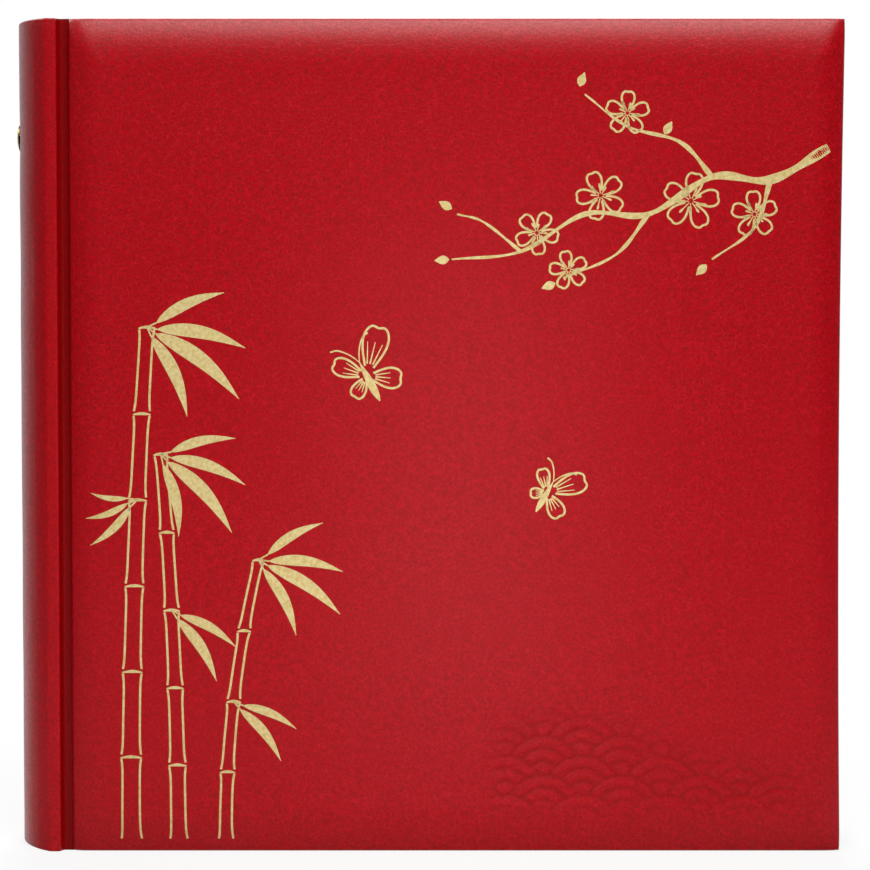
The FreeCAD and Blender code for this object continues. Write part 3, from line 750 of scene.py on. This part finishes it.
def sweepUp(name, section, low, high, rowStep, endRound, material, shift=None):
    # closed outline in plan, taken from low to high with its ends rounded over
    section = np.asarray(section)
    run = np.roll(section, -1, axis=0) - np.roll(section, 1, axis=0)
    normal = np.stack([run[:, 1], -run[:, 0]], axis=-1)
    x, y = section.T
    if np.sum(x * np.roll(y, -1) - y * np.roll(x, -1)) < 0:
        normal = -normal
    normal /= np.linalg.norm(normal, axis=1)[:, None]
    turns = np.radians(np.linspace(90, 0, 6))
    ends = [(endRound * (1 - math.sin(a)), endRound * (1 - math.cos(a))) for a in turns]
    middle = np.linspace(low + endRound, high - endRound, int((high - low) / rowStep) + 2)[1:-1]
    levels = [(low + up, tuck) for up, tuck in ends] + [(z, 0.0) for z in middle]
    levels += [(high - up, tuck) for up, tuck in reversed(ends)]
    points, faces, count = [], [], len(section)
    for z, tuck in levels:
        ring = section - normal * tuck
        if shift is not None:
            ring = ring + normal * shift(section, z)[:, None]
        points.append(np.column_stack([ring, np.full(count, z)]))
    for level in range(len(levels) - 1):
        here = np.arange(count) + level * count
        there = here + count
        faces += np.stack([here, np.roll(here, -1), np.roll(there, -1), there], axis=-1).tolist()
    faces.append(list(range(count)))
    faces.append([(len(levels) - 1) * count + i for i in range(count)])
    return makePiece(name, np.concatenate(points), faces, material)


def spineSection(inset, deep):  # outline in plan, inset from the outer face, its inside deep below that face
    low, high = boxOf("spine_skin")
    back, end, flange = low[0] + inset, high[0] - inset, high[1] - inset
    radius = (flange ** 2 + spineWrap["bulge"] ** 2) / (2 * spineWrap["bulge"])
    hub = back + radius
    crease, edge, lip = spineWrap["creaseRound"], spineWrap["edgeRound"], spineWrap["innerRound"]
    level = flange - crease
    reach = math.sqrt((radius - crease) ** 2 - level ** 2)
    meet = math.degrees(math.atan2(level, reach))  # where the crease's round runs into the back
    half = [
        arcPoints((end - lip, -high[1] + deep - lip), lip, 90, 0, 4),
        arcPoints((end - edge, -flange + edge), edge, 0, -90, 8),
        arcPoints((hub - reach, -level), crease, -90, -180 + meet, 12),
        arcPoints((hub, 0), radius, -180 + meet, -180, 26)[1:],
    ]
    outer = np.concatenate(half)
    outer = np.concatenate([outer, outer[-2::-1] * [1, -1]])
    inRadius = (high[1] ** 2 + spineWrap["insideBulge"] ** 2) / (2 * spineWrap["insideBulge"])
    turn = math.degrees(math.asin((high[1] - deep) / (inRadius - deep)))
    inner = arcPoints((low[0] + inRadius, 0), inRadius - deep, 180 - turn, 180 + turn, 40)
    return np.concatenate([outer, inner])


rivetLow, rivetHigh = boxOf("upper_rivet")
rivetHeight = (rivetLow[2] + rivetHigh[2]) / 2


def spineShift(section, z):  # slow unevenness, and the pull of the rivet head
    outside = section[:, 0] < spineWrap["backFrom"]
    away = np.maximum(np.hypot(section[:, 1], z - rivetHeight) - spineWrap["dimpleRadius"], 0)
    pull = spineWrap["dimple"] * np.exp(-(away / spineWrap["dimpleFade"]) ** 2) * outside
    level = np.full(len(section), z)
    waves = ripples(section[:, 1], level, spineWrap["seed"], spineWrap["waves"])
    return spineWrap["unevenness"] * outside * waves - spineWrap["unevenness"] * outside - pull


spineLow, spineHigh = boxOf("spine_skin")
spinePiece = sweepUp(
    "spineLeatherette", spineSection(0.0, spineWrap["backing"]), spineLow[2], spineHigh[2],
    spineWrap["rowStep"], spineWrap["endRound"], redLeatherette, spineShift)
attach(spinePiece, "spine")
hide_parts("spine_skin")
spineBoard = sweepUp(
    "spineBoard", spineSection(spineWrap["skin"], spineWrap["boardBacking"]),
    spineLow[2] + spineWrap["skin"], spineHigh[2] - spineWrap["skin"],
    spineWrap["rowStep"], spineWrap["boardRound"], materials["greyboard"])
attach(spineBoard, "spine")
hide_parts("spine_board")


grooveFold = {
    # the fold's outer line: distance from the hinge across the front, and from the album's middle plane
    "line": [
        (-3.6, 25.1), (-3.0, 25.45), (-2.45, 25.25), (-2.0, 24.55), (-1.5, 23.75), (-0.9, 23.2),
        (-0.1, 23.0), (0.8, 23.02), (1.6, 23.1), (2.2, 23.25), (2.8, 23.45), (3.3, 23.3)],
    "outerCount": 45, "innerCount": 14, "hingeIn": 1.6,  # the hinge lies in from the CAD fold's end
    "inside": 22.7, "endGap": 0.1, "endRound": 0.3, "rowStep": 6.0,
}


def grooveSection(side):
    hinge = boxOf("front_joint")[1][0] - grooveFold["hingeIn"]
    line = np.array(grooveFold["line"])
    outer = throughPoints(line, grooveFold["outerCount"])
    back = np.linspace(line[-1][0], line[0][0], grooveFold["innerCount"])
    inner = np.stack([back, np.full(len(back), grooveFold["inside"])], axis=-1)
    both = np.concatenate([outer, inner])
    return np.stack([hinge + both[:, 0], side * both[:, 1]], axis=-1)


# the grooves take the darker leatherette copy as painted shade
for side, which in ((-1, "front"), (1, "rear")):
    fold = sweepUp(
        which + "GrooveLeatherette", grooveSection(side),
        grooveFold["endGap"], spineHigh[2] - grooveFold["endGap"],
        grooveFold["rowStep"], grooveFold["endRound"], paintedShadeLeatherette)
    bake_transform(fold)
    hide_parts(which + "_joint")
print("spine and grooves done")


viewpoint = {
    "across": 3.68, "distance": 853.7, "height": 212.2, "tilt": 2.2, "lens": 93.6, "sensor": 36.0,
    "shift": -0.0598,
}
studio = {
    "floorRadius": 620.0, "floorSides": 96, "floorDrop": 0.02, "floorWhite": "#F4F3F2",
    "whiteFrom": 120.0, "whiteTo": 330.0, "leastWhite": 0.8,  # where the paper runs out to plain white
    "ambient": 0.16, "sideAmbient": 0.03, "gloss": 0.015, "backGloss": 1.0, "foreGloss": 0.25,
    "backSpan": (0.15, 0.7), "foreSpan": (0.86, 0.99), "sideSpan": (0.3, 0.95),  # parts of a sky direction
}


def studioFloor():
    # white sweep: pale paper that still takes the album's shadow, and runs out to plain white at its rim
    material, tree = newMaterial("paperSweep")
    place = add(tree, "ShaderNodeTexCoord").outputs["Object"]
    away = add(tree, "ShaderNodeVectorMath", {0: place}, operation="LENGTH")
    fade = add(tree, "ShaderNodeMapRange", {
        "Value": away.outputs["Value"], "From Min": studio["whiteFrom"] * mm,
        "From Max": studio["whiteTo"] * mm, "To Min": studio["leastWhite"]}, interpolation_type="SMOOTHSTEP")
    path = add(tree, "ShaderNodeLightPath")
    seen = add(tree, "ShaderNodeMath", {
        0: path.outputs["Is Camera Ray"], 1: path.outputs["Is Transmission Ray"]}, operation="MAXIMUM")
    share = add(tree, "ShaderNodeMath", {0: seen.outputs[0], 1: fade.outputs[0]}, operation="MULTIPLY")
    paper = add(tree, "ShaderNodeBsdfDiffuse", {"Color": linear(studio["floorWhite"])})
    white = add(tree, "ShaderNodeEmission", {"Color": (1, 1, 1, 1), "Strength": 1.0})
    mixed = add(tree, "ShaderNodeMixShader", {0: share.outputs[0], 1: paper.outputs[0], 2: white.outputs[0]})
    add(tree, "ShaderNodeOutputMaterial", {"Surface": mixed.outputs[0]})
    turn = np.linspace(0, 2 * math.pi, studio["floorSides"] + 1)[:-1]
    rim = np.stack([np.cos(turn), np.sin(turn), 0 * turn], axis=-1) * studio["floorRadius"]
    rim[:, 2] = -studio["floorDrop"]
    mesh = bpy.data.meshes.new("floor")
    mesh.from_pydata((rim * mm).tolist(), [], [list(range(len(rim)))])
    mesh.materials.append(material)
    floor = bpy.data.objects.new("floor", mesh)
    bpy.context.scene.collection.objects.link(floor)
    floor.visible_glossy = False


def studioWorld():
    # white all round to the camera; to gloss, white behind the album and pale off its fore edge, so that
    # its front mirrors a dim room
    (backLow, backHigh), (foreLow, foreHigh) = studio["backSpan"], studio["foreSpan"]
    sideLow, sideHigh = studio["sideSpan"]
    world = bpy.data.worlds.new("studio")
    world.use_nodes = True
    tree = world.node_tree
    tree.nodes.clear()
    way = add(tree, "ShaderNodeSeparateXYZ", {0: add(tree, "ShaderNodeTexCoord").outputs["Generated"]})
    behind = add(tree, "ShaderNodeMapRange", {
        "Value": way.outputs["Y"], "From Min": backLow, "From Max": backHigh, "To Min": studio["gloss"],
        "To Max": studio["backGloss"]}, interpolation_type="SMOOTHSTEP")
    forward = add(tree, "ShaderNodeMapRange", {
        "Value": way.outputs["X"], "From Min": foreLow, "From Max": foreHigh, "To Min": 0.0,
        "To Max": studio["foreGloss"]}, interpolation_type="SMOOTHSTEP")
    mirrored = add(tree, "ShaderNodeMath", {0: behind.outputs[0], 1: forward.outputs[0]}, operation="MAXIMUM")
    beside = add(tree, "ShaderNodeMath", {0: way.outputs["X"]}, operation="ABSOLUTE")
    around = add(tree, "ShaderNodeMapRange", {
        "Value": beside.outputs[0], "From Min": sideLow, "From Max": sideHigh, "To Min": studio["ambient"],
        "To Max": studio["sideAmbient"]}, interpolation_type="SMOOTHSTEP")
    path = add(tree, "ShaderNodeLightPath")
    level = add(tree, "ShaderNodeMix", {
        "Factor": path.outputs["Is Glossy Ray"], 2: around.outputs[0], 3: mirrored.outputs[0]})
    clear = add(tree, "ShaderNodeMath", {
        0: path.outputs["Is Camera Ray"], 1: path.outputs["Is Transmission Ray"]}, operation="MAXIMUM")
    level = add(tree, "ShaderNodeMix", {"Factor": clear.outputs[0], 2: level.outputs[0], 3: 1.0})
    sky = add(tree, "ShaderNodeBackground", {"Color": (1, 1, 1, 1), "Strength": level.outputs[0]})
    add(tree, "ShaderNodeOutputWorld", {"Surface": sky.outputs[0]})
    world.cycles.sampling_method = "NONE"  # gloss and diffuse light each find their own part of the sky
    bpy.context.scene.world = world


softboxes = {  # place and aim in mm, width, depth, watts, whether it lights, whether gloss mirrors it
    "frontSoftbox": ((20, -270, 95), (20, 0, 95), 90, 320, 0.25, True, False),
    "topSoftbox": ((100, -560, 1150), (40, -25, 305), 900, 500, 11.8, True, True),
    "rearSoftbox": ((-60, 1150, 1250), (0, 0, 160), 900, 700, 22.0, True, False),
    "rearGlint": ((0, 640, 1090), (0, 25, 305), 900, 500, 8.2, False, True),
    "spineGlint": ((-800, 60, 1000), (-150, 0, 270), 600, 500, 9.5, False, True),
}


def studioLamps():
    for name, (place, aim, wide, deep, watts, lighting, mirrored) in softboxes.items():
        lamp = bpy.data.lights.new(name, "AREA")
        lamp.shape, lamp.size, lamp.size_y, lamp.energy = "RECTANGLE", wide * mm, deep * mm, watts
        holder = bpy.data.objects.new(name, lamp)
        holder.location = Vector(place) * mm
        holder.visible_camera = False
        holder.visible_diffuse, holder.visible_glossy = lighting, mirrored
        holder.rotation_mode = "QUATERNION"
        holder.rotation_quaternion = (Vector(aim) - Vector(place)).to_track_quat("-Z", "Y")
        bpy.context.scene.collection.objects.link(holder)


def studioCamera():
    lens = bpy.data.cameras.new("camera")
    lens.lens, lens.sensor_width = viewpoint["lens"], viewpoint["sensor"]
    lens.shift_y = viewpoint["shift"]
    camera = bpy.data.objects.new("camera", lens)
    front = boxOf("front_skin")[0][1]
    camera.location = Vector((viewpoint["across"], front - viewpoint["distance"], viewpoint["height"])) * mm
    camera.rotation_euler = (math.radians(90 - viewpoint["tilt"]), 0, 0)
    bpy.context.scene.collection.objects.link(camera)
    bpy.context.scene.camera = camera


studioFloor()
studioWorld()
studioLamps()
studioCamera()
bpy.context.scene.view_settings.view_transform = "Standard"
print("studio ready")
